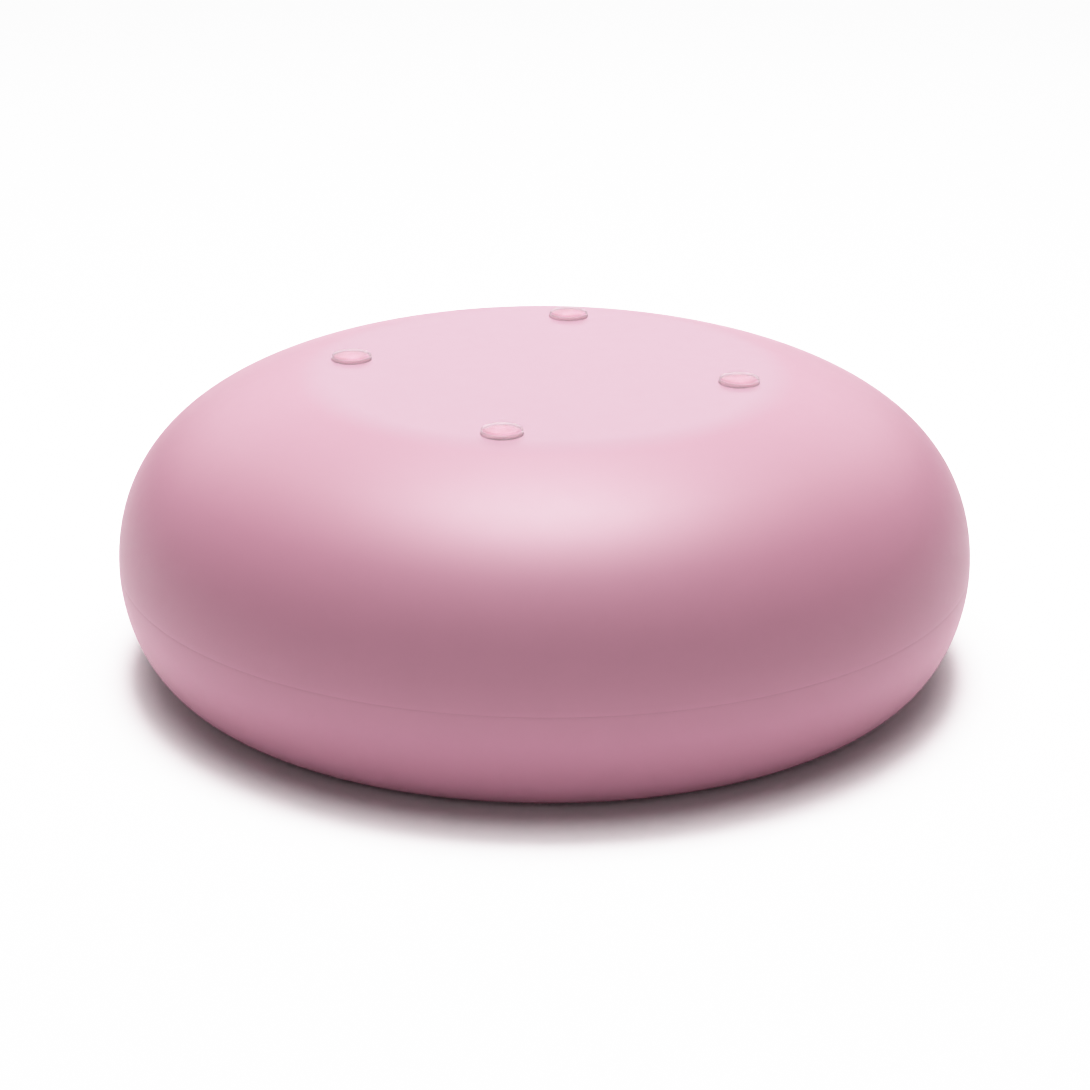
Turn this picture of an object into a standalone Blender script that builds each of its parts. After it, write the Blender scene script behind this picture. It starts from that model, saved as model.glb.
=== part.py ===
"""Balance dome trainer: a pebble-shaped body with four clear feet, modelled feet side up.

Metres, +Z up. The origin is the centre of the wide flat face that the body lies on.
In use the body is turned over: it stands on its four feet and the wide face is stood on.
Every piece is turned about the Z axis, so each one is an outline spun by a Screw modifier.
"""
import math

import bpy

for old in list(bpy.data.objects):
    bpy.data.objects.remove(old, do_unlink=True)

# Outer shape of the body
BODY_RADIUS = 0.210
BODY_HEIGHT = 0.147
WIDEST_HEIGHT = 0.0556
FEET_FACE_RADIUS = 0.114
WIDE_FACE_RADIUS = 0.1726
FEET_FACE_BLEND = 0.009
SHOULDER_SLOPE = math.radians(17.4)
SHOULDER_REACH = 0.024
SHOULDER_FULLNESS = 0.78
UNDERSIDE_FULLNESS = 0.40
UNDERSIDE_REACH = 0.0254

# Shells and the seam between them, on the widest circle
SHELL_WALL = 0.004
SEAM_HEIGHT = WIDEST_HEIGHT
SEAM_CHAMFER = 0.0004
GAP = 0.0003

# Pieces inside the shells
RING_THICKNESS = 0.003
RING_HALF_HEIGHT = 0.013
PLATE_THICKNESS = 0.006
PLATE_CHAMFER = 0.001
BASE_PLATE_RADIUS = 0.104
DOME_PLATE_RADIUS = 0.164
CORE_INSET = 0.008

# Feet: each is stuck on by hand, so each has its own angle and distance from the middle
FOOT_RADIUS = 0.010
FOOT_FLAT_RADIUS = 0.0082
FOOT_THICKNESS = 0.0024
FOOT_SHOULDER = 0.0014
ADHESIVE_RADIUS = 0.0086
ADHESIVE_THICKNESS = 0.0003
FOOT_PLACES = (
    (math.radians(-10.6), 0.0950),
    (math.radians(82.9), 0.0961),
    (math.radians(169.2), 0.0972),
    (math.radians(258.5), 0.0985),
)

# Fineness of the turned meshes
BODY_SEGMENTS = 80
FOOT_SEGMENTS = 32
EDGE_STEPS = 3
SHOULDER_STEPS = 10
UNDERSIDE_STEPS = 8


# ---------------------------------------------------------------- outlines (radius, height)
# An outline starts on the axis, runs out over the top, down the outer side and back in below.

def curve_point(controls, t):
    """Point of a Bezier curve with any number of control points."""
    points = list(controls)
    while len(points) > 1:
        points = [
            (a[0] + (b[0] - a[0]) * t, a[1] + (b[1] - a[1]) * t)
            for a, b in zip(points, points[1:])
        ]
    return points[0]


def curve_points(controls, start, steps):
    """Points from a parameter of a Bezier curve to its end, both included."""
    return [curve_point(controls, start + (1 - start) * i / steps) for i in range(steps + 1)]


def parameter_at_height(controls, height):
    """Where a curve that runs downwards passes a height."""
    low, high = 0.0, 1.0
    for _ in range(50):
        middle = (low + high) / 2
        if curve_point(controls, middle)[1] > height:
            low = middle
        else:
            high = middle
    return low


def shoulder_curve():
    """From the edge of the feet face down to the widest circle."""
    rise = BODY_HEIGHT - WIDEST_HEIGHT
    return (
        (FEET_FACE_RADIUS, BODY_HEIGHT),
        (FEET_FACE_RADIUS + SHOULDER_REACH * math.cos(SHOULDER_SLOPE),
         BODY_HEIGHT - SHOULDER_REACH * math.sin(SHOULDER_SLOPE)),
        (BODY_RADIUS, WIDEST_HEIGHT + SHOULDER_FULLNESS * rise),
        (BODY_RADIUS, WIDEST_HEIGHT),
    )


def underside_curve():
    """From the widest circle down to the edge of the wide face."""
    return (
        (BODY_RADIUS, WIDEST_HEIGHT),
        (BODY_RADIUS, WIDEST_HEIGHT * (1 - UNDERSIDE_FULLNESS)),
        (WIDE_FACE_RADIUS + UNDERSIDE_REACH, 0.0),
        (WIDE_FACE_RADIUS, 0.0),
    )


def body_outline():
    """Outside of the closed body: feet face, its soft edge, shoulder, underside, wide face."""
    blend_end = parameter_at_height(
        shoulder_curve(), BODY_HEIGHT - FEET_FACE_BLEND * math.sin(SHOULDER_SLOPE))
    soft_edge = (
        (FEET_FACE_RADIUS - FEET_FACE_BLEND, BODY_HEIGHT),
        (FEET_FACE_RADIUS, BODY_HEIGHT),
        curve_point(shoulder_curve(), blend_end),
    )
    return (
        [(0.0, BODY_HEIGHT)]
        + curve_points(soft_edge, 0.0, EDGE_STEPS)
        + curve_points(shoulder_curve(), blend_end, SHOULDER_STEPS)[1:]
        + curve_points(underside_curve(), 0.0, UNDERSIDE_STEPS)[1:]
        + [(0.0, 0.0)]
    )


def inset(outline, distance):
    """The outline moved inwards, with every stretch parallel to the old one."""
    directions = []
    for (r_from, z_from), (r_to, z_to) in zip(outline, outline[1:]):
        length = math.hypot(r_to - r_from, z_to - z_from)
        directions.append(((r_to - r_from) / length, (z_to - z_from) / length))
    moved = []
    for i, (radius, height) in enumerate(outline):
        before = directions[max(i - 1, 0)]
        after = directions[min(i, len(directions) - 1)]
        spread = 1 + before[0] * after[0] + before[1] * after[1]
        moved.append((
            radius + distance * (before[1] + after[1]) / spread,
            height - distance * (before[0] + after[0]) / spread,
        ))
    return moved


def radius_at(outline, height):
    """Radius of the outer side at a height."""
    for (r_above, z_above), (r_below, z_below) in zip(outline, outline[1:]):
        if z_above > height >= z_below:
            return r_above + (r_below - r_above) * (z_above - height) / (z_above - z_below)
    raise ValueError("the outline does not reach this height")


def side_between(outline, top, bottom):
    """The outer side between two heights, with a point on each."""
    return (
        [(radius_at(outline, top), top)]
        + [point for point in outline if bottom < point[1] < top]
        + [(radius_at(outline, bottom), bottom)]
    )


# ---------------------------------------------------------------- meshes and materials

def make_material(name, colour, roughness, alpha=1.0):
    material = bpy.data.materials.new(name)
    material.use_nodes = True
    shader = material.node_tree.nodes["Principled BSDF"]
    shader.inputs["Base Color"].default_value = (*colour, 1.0)
    shader.inputs["Roughness"].default_value = roughness
    shader.inputs["Metallic"].default_value = 0.0
    shader.inputs["Alpha"].default_value = alpha
    material.diffuse_color = (*colour, alpha)
    return material


def turned_mesh(name, outline, closed):
    """Mesh of an outline in the XZ plane, ready to be spun about Z."""
    corners = [(radius, 0.0, height) for radius, height in outline]
    edges = [(i, i + 1) for i in range(len(corners) - 1)]
    if closed:
        edges.append((len(corners) - 1, 0))
    mesh = bpy.data.meshes.new(name)
    mesh.from_pydata(corners, edges, [])
    return mesh


def add_turned(name, mesh, material, segments, place=(0.0, 0.0, 0.0)):
    """One piece: its outline's mesh, spun once round its own Z axis."""
    piece = bpy.data.objects.new(name, mesh)
    bpy.context.scene.collection.objects.link(piece)
    piece.location = place
    if not mesh.materials:
        mesh.materials.append(material)
    spin = piece.modifiers.new("Turn", "SCREW")
    spin.axis = "Z"
    spin.angle = math.tau
    spin.steps = segments
    spin.render_steps = segments
    spin.use_merge_vertices = True
    spin.merge_threshold = 0.00001
    spin.use_smooth_shade = True
    return piece


# ---------------------------------------------------------------- shells

def add_base_shell(material):
    """Shell that carries the feet; its rim is on the widest circle."""
    outer = body_outline()
    inner = inset(outer, SHELL_WALL)
    chamfer_top = SEAM_HEIGHT + SEAM_CHAMFER
    side = [point for point in outer if point[1] > chamfer_top]
    side.append((radius_at(outer, chamfer_top), chamfer_top))
    wall = [point for point in inner if point[1] > SEAM_HEIGHT]
    wall.append((radius_at(inner, SEAM_HEIGHT), SEAM_HEIGHT))
    rim = [(radius_at(outer, SEAM_HEIGHT) - SEAM_CHAMFER, SEAM_HEIGHT)]
    mesh = turned_mesh("base_shell", side + rim + wall[::-1], closed=False)
    add_turned("base_shell", mesh, material, BODY_SEGMENTS)


def add_dome_shell(material):
    """Shell with the wide flat face; its rim meets the base shell at the seam."""
    outer = body_outline()
    inner = inset(outer, SHELL_WALL)
    rim_height = SEAM_HEIGHT - GAP
    chamfer_bottom = rim_height - SEAM_CHAMFER
    side = [(radius_at(outer, chamfer_bottom), chamfer_bottom)]
    side += [point for point in outer if point[1] < chamfer_bottom]
    wall = [(radius_at(inner, rim_height), rim_height)]
    wall += [point for point in inner if point[1] < rim_height]
    rim = [(radius_at(outer, rim_height) - SEAM_CHAMFER, rim_height)]
    mesh = turned_mesh("dome_shell", wall[::-1] + rim + side, closed=False)
    add_turned("dome_shell", mesh, material, BODY_SEGMENTS)


# ---------------------------------------------------------------- pieces inside the shells

def add_seam_ring(material):
    """Hoop bonded inside both shells, across the seam."""
    outer = inset(body_outline(), SHELL_WALL + GAP)
    inner = inset(body_outline(), SHELL_WALL + GAP + RING_THICKNESS)
    top = SEAM_HEIGHT + RING_HALF_HEIGHT
    bottom = SEAM_HEIGHT - RING_HALF_HEIGHT
    outline = side_between(outer, top, bottom) + side_between(inner, top, bottom)[::-1]
    add_turned("seam_ring", turned_mesh("seam_ring", outline, closed=True), material, BODY_SEGMENTS)


def add_load_plate(name, radius, bottom, material):
    """Stiff disc that spreads the load of a face over the foam."""
    top = bottom + PLATE_THICKNESS
    outline = (
        (0.0, top),
        (radius - PLATE_CHAMFER, top),
        (radius, top - PLATE_CHAMFER),
        (radius, bottom + PLATE_CHAMFER),
        (radius - PLATE_CHAMFER, bottom),
        (0.0, bottom),
    )
    add_turned(name, turned_mesh(name, outline, closed=False), material, BODY_SEGMENTS)


def add_foam_core(top, bottom, material):
    """Foam that fills the space between the load plates and inside the seam ring."""
    side = side_between(inset(body_outline(), CORE_INSET), top, bottom)
    outline = [(0.0, top)] + side + [(0.0, bottom)]
    add_turned("foam_core", turned_mesh("foam_core", outline, closed=False), material, BODY_SEGMENTS)


# ---------------------------------------------------------------- feet

def foot_outline():
    """Clear disc with a rounded shoulder and a recess below for its adhesive."""
    recess_radius = ADHESIVE_RADIUS + GAP
    recess_depth = ADHESIVE_THICKNESS + GAP
    shoulder = (
        (FOOT_FLAT_RADIUS, FOOT_THICKNESS),
        (FOOT_RADIUS, FOOT_THICKNESS),
        (FOOT_RADIUS, FOOT_THICKNESS - FOOT_SHOULDER),
    )
    outline = [(0.0, FOOT_THICKNESS)] + curve_points(shoulder, 0.0, EDGE_STEPS)
    outline += [(FOOT_RADIUS, 0.0), (recess_radius, 0.0)]
    outline += [(recess_radius, recess_depth), (0.0, recess_depth)]
    return outline


def adhesive_outline():
    return (
        (0.0, ADHESIVE_THICKNESS),
        (ADHESIVE_RADIUS, ADHESIVE_THICKNESS),
        (ADHESIVE_RADIUS, 0.0),
        (0.0, 0.0),
    )


def add_feet(foot_material, adhesive_material):
    """Four feet and the adhesive disc under each one, on the feet face."""
    foot_mesh = turned_mesh("foot", foot_outline(), closed=False)
    adhesive_mesh = turned_mesh("foot_adhesive", adhesive_outline(), closed=False)
    for number, (angle, distance) in enumerate(FOOT_PLACES, start=1):
        place = (distance * math.cos(angle), distance * math.sin(angle), BODY_HEIGHT + GAP)
        add_turned(f"foot_{number}", foot_mesh, foot_material, FOOT_SEGMENTS, place)
        add_turned(f"foot_adhesive_{number}", adhesive_mesh, adhesive_material, FOOT_SEGMENTS, place)


def main():
    pink_plastic = make_material("pink_plastic", (0.80, 0.42, 0.53), 0.45)
    ring_plastic = make_material("ring_plastic", (0.62, 0.60, 0.60), 0.55)
    plywood = make_material("plywood", (0.62, 0.45, 0.27), 0.6)
    foam = make_material("foam", (0.86, 0.85, 0.82), 0.9)
    clear_rubber = make_material("clear_rubber", (0.90, 0.86, 0.87), 0.15, alpha=0.4)
    adhesive = make_material("adhesive", (0.88, 0.72, 0.77), 0.3, alpha=0.6)

    base_plate_bottom = BODY_HEIGHT - SHELL_WALL - GAP - PLATE_THICKNESS
    dome_plate_bottom = SHELL_WALL + GAP
    dome_plate_top = dome_plate_bottom + PLATE_THICKNESS

    add_base_shell(pink_plastic)
    add_dome_shell(pink_plastic)
    add_seam_ring(ring_plastic)
    add_load_plate("base_load_plate", BASE_PLATE_RADIUS, base_plate_bottom, plywood)
    add_load_plate("dome_load_plate", DOME_PLATE_RADIUS, dome_plate_bottom, plywood)
    add_foam_core(base_plate_bottom - GAP, dome_plate_top + GAP, foam)
    add_feet(clear_rubber, adhesive)


main()
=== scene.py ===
"""Looks of the balance dome trainer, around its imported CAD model, in that model's frame. Metres, +Z up.

The body lies on its wide flat face with its four clear feet up. Every piece is turned about its own
upright axis, so each is an outline (radius, height) spun by a Screw modifier, like the CAD pieces that
it replaces, only finer.
"""
import math

import bpy
from mathutils import Matrix, Vector

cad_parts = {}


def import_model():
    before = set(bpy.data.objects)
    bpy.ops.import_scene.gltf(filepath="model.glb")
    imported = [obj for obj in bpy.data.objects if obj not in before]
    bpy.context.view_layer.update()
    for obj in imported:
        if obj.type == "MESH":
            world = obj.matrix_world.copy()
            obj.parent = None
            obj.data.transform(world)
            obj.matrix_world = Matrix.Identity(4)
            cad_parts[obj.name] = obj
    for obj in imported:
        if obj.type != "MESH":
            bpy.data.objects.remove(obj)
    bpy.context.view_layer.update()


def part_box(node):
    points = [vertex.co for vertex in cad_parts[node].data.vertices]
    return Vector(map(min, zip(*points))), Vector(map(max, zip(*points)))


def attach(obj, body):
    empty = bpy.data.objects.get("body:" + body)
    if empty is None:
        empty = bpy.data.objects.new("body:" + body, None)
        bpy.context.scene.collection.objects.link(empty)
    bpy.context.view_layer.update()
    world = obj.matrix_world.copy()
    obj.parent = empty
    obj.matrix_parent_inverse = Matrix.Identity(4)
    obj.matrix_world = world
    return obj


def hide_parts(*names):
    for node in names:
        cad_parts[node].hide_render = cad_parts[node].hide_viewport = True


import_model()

# ---------------------------------------------------------------- sizes, from the frame where it holds them

BASE_LOW, BASE_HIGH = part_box("base_shell")
BODY_RADIUS = BASE_HIGH.x
BODY_HEIGHT = BASE_HIGH.z
SEAM_HEIGHT = BASE_LOW.z
RING_LOW, RING_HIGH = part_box("seam_ring")
BASE_BOARD_LOW, BASE_BOARD_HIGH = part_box("base_load_plate")
DOME_BOARD_LOW, DOME_BOARD_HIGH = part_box("dome_load_plate")
CORE_LOW, CORE_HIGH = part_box("foam_core")

# Outline of the body: the CAD model's curves
FEET_FACE_RADIUS = 0.114
WIDE_FACE_RADIUS = 0.1726
FEET_FACE_BLEND = 0.009
SHOULDER_SLOPE = math.radians(17.4)
SHOULDER_REACH = 0.024
SHOULDER_FULLNESS = 0.78
UNDERSIDE_FULLNESS = 0.40
UNDERSIDE_REACH = 0.0254

# Walls and the seam: two rounded lips that almost touch
SHELL_WALL = 0.004
SEAM_GAP = 0.00001
LIP_RADIUS = 0.00005

# Pieces inside
CLEARANCE = 0.0003
RING_THICKNESS = 0.003
CORE_INSET = 0.008
BOARD_ROUNDING = 0.0012

# Clear feet: each is pressed against the face with its film in its underside, so no air is left between
FOOT_SINK = 0.00015
FOOT_FLAT_RADIUS = 0.0082
FOOT_SHOULDER = 0.0014
FOOT_DRAFT = 0.0002
FILM_LIFT = 0.00001
FILM_THICKNESS = 0.00003

# Fineness
BODY_SEGMENTS = 256
FOOT_SEGMENTS = 96
SHOULDER_STEPS = 60
UNDERSIDE_STEPS = 40
EDGE_STEPS = 16
LIP_STEPS = 5
MERGE_DISTANCE = 0.0000005


# ---------------------------------------------------------------- outlines (radius, height)
# An outline starts on the axis, runs out over the top, down the outer side and back in below.

def curve_point(controls, t):
    """Point of a Bezier curve with any number of control points."""
    points = list(controls)
    while len(points) > 1:
        points = [
            (a[0] + (b[0] - a[0]) * t, a[1] + (b[1] - a[1]) * t)
            for a, b in zip(points, points[1:])
        ]
    return points[0]


def curve_points(controls, start, steps):
    """Points from a parameter of a Bezier curve to its end, both included."""
    return [curve_point(controls, start + (1 - start) * i / steps) for i in range(steps + 1)]


def parameter_at_height(controls, height):
    """Where a curve that runs downwards passes a height."""
    low, high = 0.0, 1.0
    for _ in range(50):
        middle = (low + high) / 2
        if curve_point(controls, middle)[1] > height:
            low = middle
        else:
            high = middle
    return low


def shoulder_curve():
    """From the edge of the feet face down to the widest circle."""
    rise = BODY_HEIGHT - SEAM_HEIGHT
    return (
        (FEET_FACE_RADIUS, BODY_HEIGHT),
        (FEET_FACE_RADIUS + SHOULDER_REACH * math.cos(SHOULDER_SLOPE),
         BODY_HEIGHT - SHOULDER_REACH * math.sin(SHOULDER_SLOPE)),
        (BODY_RADIUS, SEAM_HEIGHT + SHOULDER_FULLNESS * rise),
        (BODY_RADIUS, SEAM_HEIGHT),
    )


def underside_curve():
    """From the widest circle down to the edge of the wide face."""
    return (
        (BODY_RADIUS, SEAM_HEIGHT),
        (BODY_RADIUS, SEAM_HEIGHT * (1 - UNDERSIDE_FULLNESS)),
        (WIDE_FACE_RADIUS + UNDERSIDE_REACH, 0.0),
        (WIDE_FACE_RADIUS, 0.0),
    )


def body_outline():
    """Outside of the closed body: feet face, its soft edge, shoulder, underside, wide face."""
    blend_end = parameter_at_height(
        shoulder_curve(), BODY_HEIGHT - FEET_FACE_BLEND * math.sin(SHOULDER_SLOPE))
    soft_edge = (
        (FEET_FACE_RADIUS - FEET_FACE_BLEND, BODY_HEIGHT),
        (FEET_FACE_RADIUS, BODY_HEIGHT),
        curve_point(shoulder_curve(), blend_end),
    )
    return (
        [(0.0, BODY_HEIGHT)]
        + curve_points(soft_edge, 0.0, EDGE_STEPS)
        + curve_points(shoulder_curve(), blend_end, SHOULDER_STEPS)[1:]
        + curve_points(underside_curve(), 0.0, UNDERSIDE_STEPS)[1:]
        + [(0.0, 0.0)]
    )


def inset(outline, distance):
    """The outline moved inwards, with every stretch parallel to the old one."""
    directions = []
    for (r_from, z_from), (r_to, z_to) in zip(outline, outline[1:]):
        length = math.hypot(r_to - r_from, z_to - z_from)
        directions.append(((r_to - r_from) / length, (z_to - z_from) / length))
    moved = []
    for i, (radius, height) in enumerate(outline):
        before = directions[max(i - 1, 0)]
        after = directions[min(i, len(directions) - 1)]
        spread = 1 + before[0] * after[0] + before[1] * after[1]
        moved.append((
            radius + distance * (before[1] + after[1]) / spread,
            height - distance * (before[0] + after[0]) / spread,
        ))
    return moved


def radius_at(outline, height):
    """Radius of the outer side at a height."""
    for (r_above, z_above), (r_below, z_below) in zip(outline, outline[1:]):
        if z_above > height >= z_below:
            return r_above + (r_below - r_above) * (z_above - height) / (z_above - z_below)
    raise ValueError("the outline does not reach this height")


def side_between(outline, top, bottom):
    """The outer side between two heights, with a point on each."""
    return (
        [(radius_at(outline, top), top)]
        + [point for point in outline if bottom < point[1] < top]
        + [(radius_at(outline, bottom), bottom)]
    )


def arc(centre, radius, start, end, steps):
    """Points of a circular arc between two angles, both ends included."""
    return [
        (centre[0] + radius * math.cos(start + (end - start) * i / steps),
         centre[1] + radius * math.sin(start + (end - start) * i / steps))
        for i in range(steps + 1)
    ]


# ---------------------------------------------------------------- meshes

def turned(name, outline, segments, closed=False, place=(0.0, 0.0, 0.0)):
    """A piece: an outline spun once round its own Z axis."""
    corners = [(radius, 0.0, height) for radius, height in outline]
    edges = [(i, i + 1) for i in range(len(corners) - 1)]
    if closed:
        edges.append((len(corners) - 1, 0))
    mesh = bpy.data.meshes.new(name)
    mesh.from_pydata(corners, edges, [])
    piece = bpy.data.objects.new(name, mesh)
    bpy.context.scene.collection.objects.link(piece)
    piece.location = place
    spin = piece.modifiers.new("Turn", "SCREW")
    spin.axis = "Z"
    spin.angle = math.tau
    spin.steps = segments
    spin.render_steps = segments
    spin.use_merge_vertices = True
    spin.merge_threshold = MERGE_DISTANCE
    spin.use_smooth_shade = True
    return piece


def dress(piece, material, slot, *nodes):
    """Gives a piece its material and puts it in place of CAD nodes. The slot is not used."""
    piece.data.materials.append(material)
    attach(piece, "root")
    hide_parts(*nodes)
    return piece


# ---------------------------------------------------------------- shells

def base_shell(material):
    """Shell with the feet face. Its rim ends in a rounded lip on the widest circle."""
    outer = body_outline()
    inner = inset(outer, SHELL_WALL)
    rim = SEAM_HEIGHT + SEAM_GAP / 2
    lip_centre = (radius_at(outer, rim + LIP_RADIUS) - LIP_RADIUS, rim + LIP_RADIUS)
    side = [point for point in outer if point[1] > rim + LIP_RADIUS]
    lip = arc(lip_centre, LIP_RADIUS, 0.0, -math.pi / 2, LIP_STEPS)
    wall = [point for point in inner if point[1] > rim] + [(radius_at(inner, rim), rim)]
    piece = turned("base_cover", side + lip + wall[::-1], BODY_SEGMENTS)
    return dress(piece, material, "shell_plastic", "base_shell")


def dome_shell(material):
    """Shell with the wide flat face. Its rounded lip meets the base shell's."""
    outer = body_outline()
    inner = inset(outer, SHELL_WALL)
    rim = SEAM_HEIGHT - SEAM_GAP / 2
    lip_centre = (radius_at(outer, rim - LIP_RADIUS) - LIP_RADIUS, rim - LIP_RADIUS)
    side = [point for point in outer if point[1] < rim - LIP_RADIUS]
    lip = arc(lip_centre, LIP_RADIUS, math.pi / 2, 0.0, LIP_STEPS)
    wall = [(radius_at(inner, rim), rim)] + [point for point in inner if point[1] < rim]
    piece = turned("dome_cover", wall[::-1] + lip + side, BODY_SEGMENTS)
    return dress(piece, material, "shell_plastic", "dome_shell")


# ---------------------------------------------------------------- pieces inside the shells

def bonding_ring(material):
    """Hoop bonded inside both shells, across the seam."""
    outer = inset(body_outline(), SHELL_WALL + CLEARANCE)
    inner = inset(body_outline(), SHELL_WALL + CLEARANCE + RING_THICKNESS)
    outline = (
        side_between(outer, RING_HIGH.z, RING_LOW.z)
        + side_between(inner, RING_HIGH.z, RING_LOW.z)[::-1]
    )
    piece = turned("bonding_ring", outline, BODY_SEGMENTS, closed=True)
    return dress(piece, material, "ring_plastic", "seam_ring")


def load_board(name, low, high, material, node):
    """Plywood disc with rounded rims."""
    radius = high.x
    middle = radius - BOARD_ROUNDING
    outline = (
        [(0.0, high.z)]
        + arc((middle, high.z - BOARD_ROUNDING), BOARD_ROUNDING, math.pi / 2, 0.0, LIP_STEPS)
        + arc((middle, low.z + BOARD_ROUNDING), BOARD_ROUNDING, 0.0, -math.pi / 2, LIP_STEPS)
        + [(0.0, low.z)]
    )
    return dress(turned(name, outline, BODY_SEGMENTS), material, "plate_plywood", node)


def foam_block(material):
    """Bead foam that fills the space between the boards."""
    side = side_between(inset(body_outline(), CORE_INSET), CORE_HIGH.z, CORE_LOW.z)
    outline = [(0.0, CORE_HIGH.z)] + side + [(0.0, CORE_LOW.z)]
    piece = turned("foam_block", outline, BODY_SEGMENTS)
    return dress(piece, material, "core_foam", "foam_core")


# ---------------------------------------------------------------- feet

def foot(number, foot_material, film_material):
    """Clear bumper with its adhesive film in its underside."""
    low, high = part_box(f"foot_{number}")
    place = ((low.x + high.x) / 2, (low.y + high.y) / 2, BODY_HEIGHT)
    radius = (high.x - low.x) / 2
    top = high.z - BODY_HEIGHT
    top_radius = radius - FOOT_DRAFT
    shoulder = ((FOOT_FLAT_RADIUS, top), (top_radius, top), (top_radius, top - FOOT_SHOULDER))
    outline = (
        [(0.0, top)]
        + curve_points(shoulder, 0.0, EDGE_STEPS)
        + [(radius, -FOOT_SINK), (0.0, -FOOT_SINK)]
    )
    piece = turned(f"clear_foot_{number}", outline, FOOT_SEGMENTS, place=place)
    dress(piece, foot_material, "clear_rubber", f"foot_{number}")
    film_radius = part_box(f"foot_adhesive_{number}")[1].x - place[0]
    film_top = FILM_LIFT + FILM_THICKNESS
    film_outline = [(0.0, film_top), (film_radius, film_top), (film_radius, FILM_LIFT), (0.0, FILM_LIFT)]
    film = turned(f"adhesive_film_{number}", film_outline, FOOT_SEGMENTS, place=place)
    dress(film, film_material, "adhesive", f"foot_adhesive_{number}")


# ---------------------------------------------------------------- materials

class Nodes:
    """A material's node tree, with short calls to add and join nodes."""

    def __init__(self, name):
        self.material = bpy.data.materials.new(name)
        self.material.use_nodes = True
        self.tree = self.material.node_tree
        self.shader = self.tree.nodes["Principled BSDF"]

    def set(self, **values):
        for key, value in values.items():
            self.shader.inputs[key.replace("_", " ")].default_value = value

    def add(self, kind, **inputs):
        node = self.tree.nodes.new(kind)
        for key, value in inputs.items():
            node.inputs[key.replace("_", " ")].default_value = value
        return node

    def join(self, out_socket, in_socket):
        self.tree.links.new(out_socket, in_socket)

    def position(self, scale=(1.0, 1.0, 1.0)):
        """Object coordinates in metres, scaled."""
        coordinates = self.add("ShaderNodeTexCoord")
        mapping = self.add("ShaderNodeMapping", Scale=scale)
        self.join(coordinates.outputs["Object"], mapping.inputs["Vector"])
        return mapping.outputs["Vector"]

    def noise(self, scale, detail=2.0, vector=None):
        node = self.add("ShaderNodeTexNoise", Scale=scale, Detail=detail)
        self.join(vector or self.position(), node.inputs["Vector"])
        return node.outputs["Fac"]

    def direction(self):
        """How far the surface faces up: -1 straight down, 1 straight up."""
        coordinates = self.add("ShaderNodeTexCoord")
        parts = self.add("ShaderNodeSeparateXYZ")
        self.join(coordinates.outputs["Normal"], parts.inputs["Vector"])
        return parts.outputs["Z"]

    def spread(self, value, low, high, from_low=0.0):
        """Maps a value between 0, or another low end, and 1 to a range."""
        node = self.add("ShaderNodeMapRange", From_Min=from_low, To_Min=low, To_Max=high)
        self.join(value, node.inputs["Value"])
        return node.outputs["Result"]

    def blend(self, factor, dark, light):
        """Colour between two, by a 0 to 1 value."""
        node = self.tree.nodes.new("ShaderNodeMix")
        node.data_type = "RGBA"
        colours = [socket for socket in node.inputs if socket.type == "RGBA"]
        colours[0].default_value = (*dark, 1.0)
        colours[1].default_value = (*light, 1.0)
        self.join(factor, node.inputs["Factor"])
        return [socket for socket in node.outputs if socket.type == "RGBA"][0]

    def bump(self, height, strength, distance):
        node = self.add("ShaderNodeBump", Strength=strength, Distance=distance)
        self.join(height, node.inputs["Height"])
        self.join(node.outputs["Normal"], self.shader.inputs["Normal"])


# Pink of the shells, by how far they face up: from -1 straight down to 1 straight up. Only the plain pink
# is the plastic's own; the changes are painted light: paler and chalkier on top as a painted sheen, lighter
# and redder just below the widest circle as painted bounce light from the floor, and darker again towards
# the wide face below as painted shade
SHELL_PINKS_WITH_PAINTED_LIGHT = (
    (-1.0, (0.325, 0.127, 0.185)),
    (-0.45, (0.345, 0.138, 0.2)),
    (-0.2, (0.365, 0.15, 0.218)),
    (0.15, (0.336, 0.138, 0.197)),
    (0.7, (0.326, 0.151, 0.204)),
    (0.9, (0.342, 0.178, 0.225)),
    (0.97, (0.336, 0.171, 0.219)),
    (1.0, (0.314, 0.179, 0.225)),
)
SHELL_MOTTLE = 0.012


def pink_plastic():
    """Moulded plastic with a soft satin finish: faint mottle, a very fine moulded grain, and a pink that
    changes with facing as painted light, a painted sheen on top and painted floor bounce and shade below.
    """
    nodes = Nodes("pink_plastic")
    nodes.set(IOR=1.5, Specular_IOR_Level=0.42)
    # Base colour by facing is painted light: a painted sheen on the upward faces, painted floor bounce and
    # shade on the downward ones
    facing = nodes.direction()
    ramp = nodes.add("ShaderNodeValToRGB")
    nodes.join(nodes.spread(facing, 0.0, 1.0, from_low=-1.0), ramp.inputs["Fac"])
    for number, (height, pink) in enumerate(SHELL_PINKS_WITH_PAINTED_LIGHT):
        stops = ramp.color_ramp.elements
        stop = stops[number] if number < 2 else stops.new(1.0)
        stop.position = (height + 1) / 2
        stop.color = (*pink, 1.0)
    mottle = nodes.spread(nodes.noise(45.0, detail=3.0), 1 - SHELL_MOTTLE, 1 + SHELL_MOTTLE)
    shade = nodes.add("ShaderNodeVectorMath")
    shade.operation = "SCALE"
    nodes.join(ramp.outputs["Color"], shade.inputs[0])
    nodes.join(mottle, shade.inputs["Scale"])
    nodes.join(shade.outputs["Vector"], nodes.shader.inputs["Base Color"])
    nodes.join(nodes.spread(nodes.noise(120.0), 0.48, 0.52), nodes.shader.inputs["Roughness"])
    nodes.bump(nodes.noise(2600.0, detail=1.0), 0.12, 0.00003)
    return nodes.material


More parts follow.
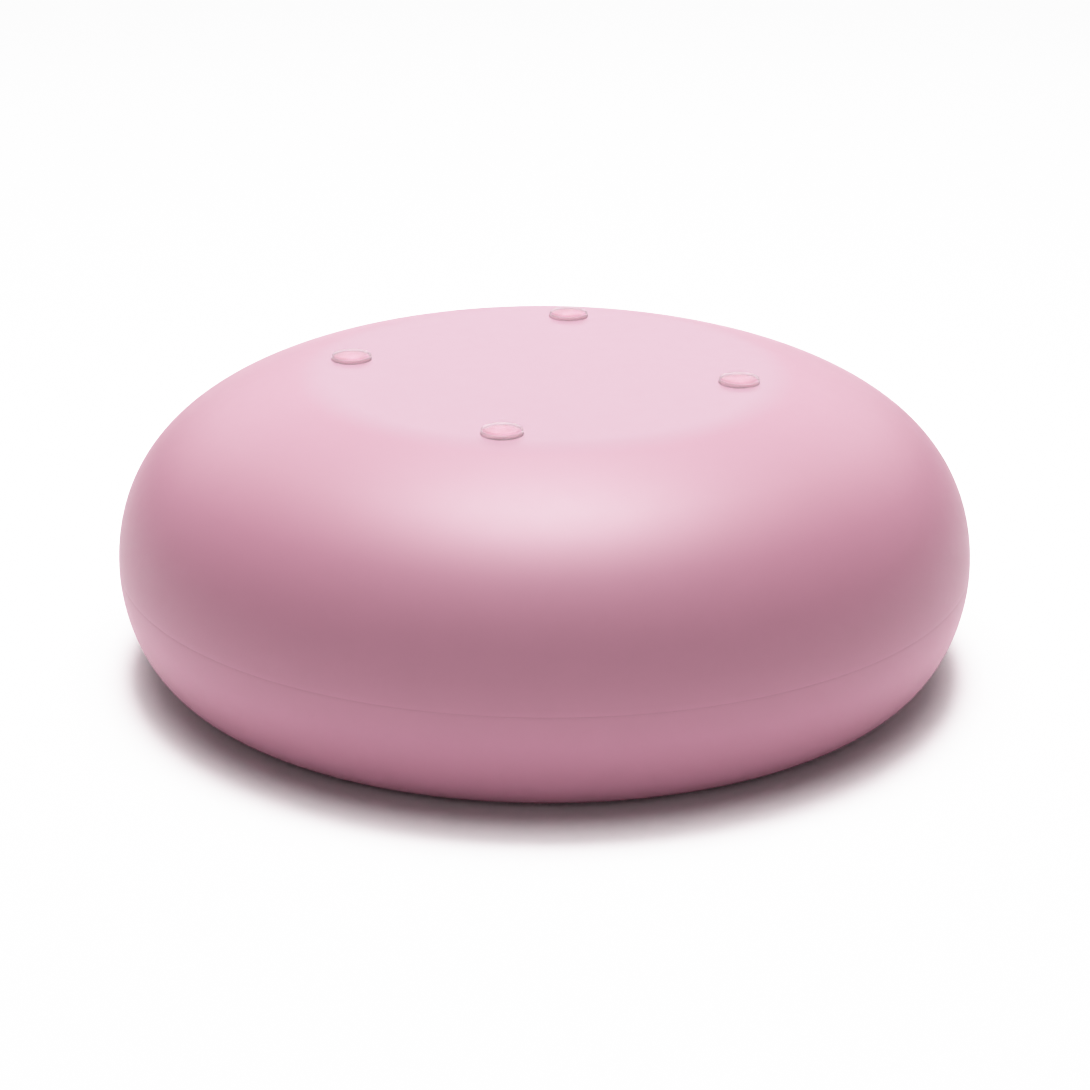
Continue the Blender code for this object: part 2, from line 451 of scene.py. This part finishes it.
def ring_plastic():
    """Plain grey plastic, turned on the inside, so with fine rings along its height."""
    nodes = Nodes("ring_plastic")
    mottle = nodes.noise(60.0)
    colour = nodes.blend(mottle, (0.34, 0.32, 0.32), (0.38, 0.36, 0.36))
    nodes.join(colour, nodes.shader.inputs["Base Color"])
    rings = nodes.noise(1.0, vector=nodes.position((0.0, 0.0, 900.0)))
    nodes.join(nodes.spread(rings, 0.5, 0.62), nodes.shader.inputs["Roughness"])
    nodes.bump(rings, 0.25, 0.0001)
    return nodes.material


def plywood():
    """Birch plywood: long grain on the faces and dark and light layers on the rim."""
    nodes = Nodes("plywood")
    grain = nodes.noise(1.0, detail=6.0, vector=nodes.position((14.0, 220.0, 600.0)))
    colour = nodes.blend(grain, (0.50, 0.33, 0.18), (0.72, 0.54, 0.34))
    nodes.join(colour, nodes.shader.inputs["Base Color"])
    nodes.join(nodes.spread(grain, 0.5, 0.7), nodes.shader.inputs["Roughness"])
    nodes.bump(grain, 0.35, 0.0003)
    return nodes.material


def bead_foam():
    """Moulded foam of small beads pressed together."""
    nodes = Nodes("bead_foam")
    beads = nodes.add("ShaderNodeTexVoronoi", Scale=260.0)
    nodes.join(nodes.position(), beads.inputs["Vector"])
    distance = beads.outputs["Distance"]
    colour = nodes.blend(distance, (0.84, 0.83, 0.80), (0.66, 0.65, 0.62))
    nodes.join(colour, nodes.shader.inputs["Base Color"])
    nodes.set(Roughness=0.9)
    nodes.bump(nodes.spread(distance, 1.0, 0.0), 0.6, 0.0012)
    return nodes.material


def clear_rubber():
    """Clear soft polyurethane: a polished sole, slightly hazy moulded sides and faint ripples.

    Its index is low because the rubber is wetted onto the shell, where it bends and mirrors little.
    """
    nodes = Nodes("clear_rubber")
    nodes.set(Base_Color=(0.99, 0.955, 0.97, 1.0), IOR=1.07)
    nodes.join(nodes.spread(nodes.direction(), 0.58, 0.97), nodes.shader.inputs["Transmission Weight"])
    nodes.join(nodes.spread(nodes.noise(900.0), 0.1, 0.15), nodes.shader.inputs["Roughness"])
    nodes.bump(nodes.noise(500.0), 0.1, 0.00005)
    return nodes.material


def adhesive():
    """Thin cloudy acrylic film, which takes the pink of the shell behind it."""
    nodes = Nodes("adhesive")
    cloud = nodes.noise(700.0, detail=3.0)
    colour = nodes.blend(cloud, (0.54, 0.265, 0.33), (0.58, 0.295, 0.37))
    nodes.join(colour, nodes.shader.inputs["Base Color"])
    nodes.join(nodes.spread(cloud, 0.45, 0.55), nodes.shader.inputs["Roughness"])
    nodes.set(Specular_IOR_Level=0.04)
    return nodes.material


def studio_floor():
    """Pale matt sheet."""
    nodes = Nodes("studio_floor")
    mottle = nodes.noise(3.0)
    colour = nodes.blend(mottle, (0.92, 0.92, 0.92), (0.94, 0.94, 0.94))
    nodes.join(colour, nodes.shader.inputs["Base Color"])
    nodes.set(Roughness=0.8, Specular_IOR_Level=0.0)
    return nodes.material


# ---------------------------------------------------------------- studio

CAMERA_ELEVATION = math.radians(20.66)
CAMERA_DISTANCE = 1.47
CAMERA_ROLL = math.radians(0.25)
CAMERA_TARGET = Vector((0.0002, 0.0, 0.0562))
CAMERA_LENS = 97.5
FLOOR_RADIUS = 12.0
FLOOR_DEPTH = 0.02

# Surroundings: each glow's (elevation in degrees, brightness) stops, and the way it faces in x and y,
# or None where it is all round
GLOWS = (
    (((10, 0.0), (20, 5.2), (35, 0.0)), (0.0, 1.0)),
    (((50, 0.0), (62, 2.9), (74, 6.9), (90, 0.0)), (0.0, 1.0)),
    (((0, 2.7), (10, 0.0)), (0.0, -1.0)),
    (((20, 0.0), (35, 0.8), (50, 0.0)), (0.0, -1.0)),
    (((62, 0.0), (74, 4.6), (90, 8.3)), None),
)

# Plain brightness of what the camera sees beyond the floor
BACKDROP = 0.87

# Softbox overhead, leaning back
SOFTBOX_LEAN = math.radians(11)
SOFTBOX_DISTANCE = 1.5
SOFTBOX_WIDTH = 0.9
SOFTBOX_DEPTH = 0.6
SOFTBOX_POWER = 31.0

# Soft roll-off of highlights: output = input / (1 + input ** ROLL_OFF) ** (1 / ROLL_OFF)
ROLL_OFF = 5
ROLL_OFF_STOPS = (0.25, 0.5, 0.7, 0.85, 1.0, 1.2, 1.5, 2.0)
ROLL_OFF_END = 4.0


def camera():
    data = bpy.data.cameras.new("camera")
    data.sensor_width = 36.0
    data.lens = CAMERA_LENS
    item = bpy.data.objects.new("camera", data)
    bpy.context.scene.collection.objects.link(item)
    back = Vector((0.0, -math.cos(CAMERA_ELEVATION), math.sin(CAMERA_ELEVATION)))
    place = CAMERA_TARGET + back * CAMERA_DISTANCE
    turn = back.to_track_quat("Z", "Y").to_matrix().to_4x4()
    item.matrix_world = Matrix.Translation(place) @ turn @ Matrix.Rotation(CAMERA_ROLL, 4, "Z")
    bpy.context.scene.camera = item


def floor():
    outline = [(0.0, 0.0), (FLOOR_RADIUS, 0.0), (FLOOR_RADIUS, -FLOOR_DEPTH), (0.0, -FLOOR_DEPTH)]
    item = turned("studio_floor", outline, BODY_SEGMENTS)
    item.data.materials.append(studio_floor())


def world():
    """Soft surroundings: glows that vary with elevation, some of them towards one side only.

    They light the scene, and what is seen beyond the floor is a plain pale backdrop.
    """
    scene_world = bpy.data.worlds.new("studio")
    scene_world.use_nodes = True
    tree = scene_world.node_tree

    def calculate(operation, first, second=0.0):
        node = tree.nodes.new("ShaderNodeMath")
        node.operation = operation
        for socket, value in zip(node.inputs, (first, second)):
            if isinstance(value, bpy.types.NodeSocket):
                tree.links.new(value, socket)
            else:
                socket.default_value = value
        return node.outputs["Value"]

    coordinates = tree.nodes.new("ShaderNodeTexCoord")
    direction = tree.nodes.new("ShaderNodeSeparateXYZ")
    tree.links.new(coordinates.outputs["Generated"], direction.inputs["Vector"])
    x, y, z = direction.outputs
    elevation = calculate("MULTIPLY", calculate("ARCSINE", z), 2 / math.pi)
    level = calculate("MAXIMUM", calculate("SUBTRACT", 1.0, calculate("MULTIPLY", z, z)), 0.0001)
    total = 0.0
    for stops, facing in GLOWS:
        peak = max(brightness for _, brightness in stops)
        ramp = tree.nodes.new("ShaderNodeValToRGB")
        tree.links.new(elevation, ramp.inputs["Fac"])
        elements = ramp.color_ramp.elements
        for number, (degrees, brightness) in enumerate(stops):
            stop = elements[number] if number < 2 else elements.new(degrees / 90)
            stop.position = degrees / 90
            stop.color = (*[brightness / peak] * 3, 1.0)
        glow = calculate("MULTIPLY", ramp.outputs["Color"], peak)
        if facing:
            along_x = calculate("MULTIPLY", x, facing[0])
            along_y = calculate("MULTIPLY", y, facing[1])
            reach = calculate("MAXIMUM", calculate("ADD", along_x, along_y), 0.0)
            share = calculate("DIVIDE", calculate("MULTIPLY", reach, reach), level)
            glow = calculate("MULTIPLY", glow, share)
        total = calculate("ADD", total, glow)
    glow_light = tree.nodes["Background"]
    tree.links.new(total, glow_light.inputs["Strength"])
    glow_light.inputs["Color"].default_value = (1.0, 1.0, 1.0, 1.0)
    backdrop = tree.nodes.new("ShaderNodeBackground")
    backdrop.inputs["Color"].default_value = (BACKDROP, BACKDROP, BACKDROP, 1.0)
    ray = tree.nodes.new("ShaderNodeLightPath")
    either = tree.nodes.new("ShaderNodeMixShader")
    tree.links.new(ray.outputs["Is Camera Ray"], either.inputs[0])
    tree.links.new(glow_light.outputs["Background"], either.inputs[1])
    tree.links.new(backdrop.outputs["Background"], either.inputs[2])
    tree.links.new(either.outputs["Shader"], tree.nodes["World Output"].inputs["Surface"])
    bpy.context.scene.world = scene_world


def softbox():
    data = bpy.data.lights.new("softbox", "AREA")
    data.shape = "RECTANGLE"
    data.size = SOFTBOX_WIDTH
    data.size_y = SOFTBOX_DEPTH
    data.energy = SOFTBOX_POWER
    item = bpy.data.objects.new("softbox", data)
    bpy.context.scene.collection.objects.link(item)
    up = Vector((0.0, math.sin(SOFTBOX_LEAN), math.cos(SOFTBOX_LEAN)))
    item.location = Vector((0.0, 0.0, BODY_HEIGHT / 2)) + up * SOFTBOX_DISTANCE
    item.rotation_euler = up.to_track_quat("Z", "Y").to_euler()


def rolled_off(level):
    return level / (1 + level ** ROLL_OFF) ** (1 / ROLL_OFF)


def film_response():
    """Plain display colours with a soft roll-off in the highlights."""
    settings = bpy.context.scene.view_settings
    settings.view_transform = "Standard"
    settings.use_curve_mapping = True
    mapping = settings.curve_mapping
    mapping.clip_max_x = ROLL_OFF_END
    curve = mapping.curves[3]
    curve.points[1].location = (ROLL_OFF_END, rolled_off(ROLL_OFF_END))
    for level in ROLL_OFF_STOPS:
        curve.points.new(level, rolled_off(level))
    mapping.update()


def main():
    camera()
    film_response()
    floor()
    world()
    softbox()

    shell_material = pink_plastic()
    board_material = plywood()
    foot_material = clear_rubber()
    film_material = adhesive()
    base_shell(shell_material)
    dome_shell(shell_material)
    bonding_ring(ring_plastic())
    load_board("base_board", BASE_BOARD_LOW, BASE_BOARD_HIGH, board_material, "base_load_plate")
    load_board("dome_board", DOME_BOARD_LOW, DOME_BOARD_HIGH, board_material, "dome_load_plate")
    foam_block(bead_foam())
    for number in (1, 2, 3, 4):
        foot(number, foot_material, film_material)


main()
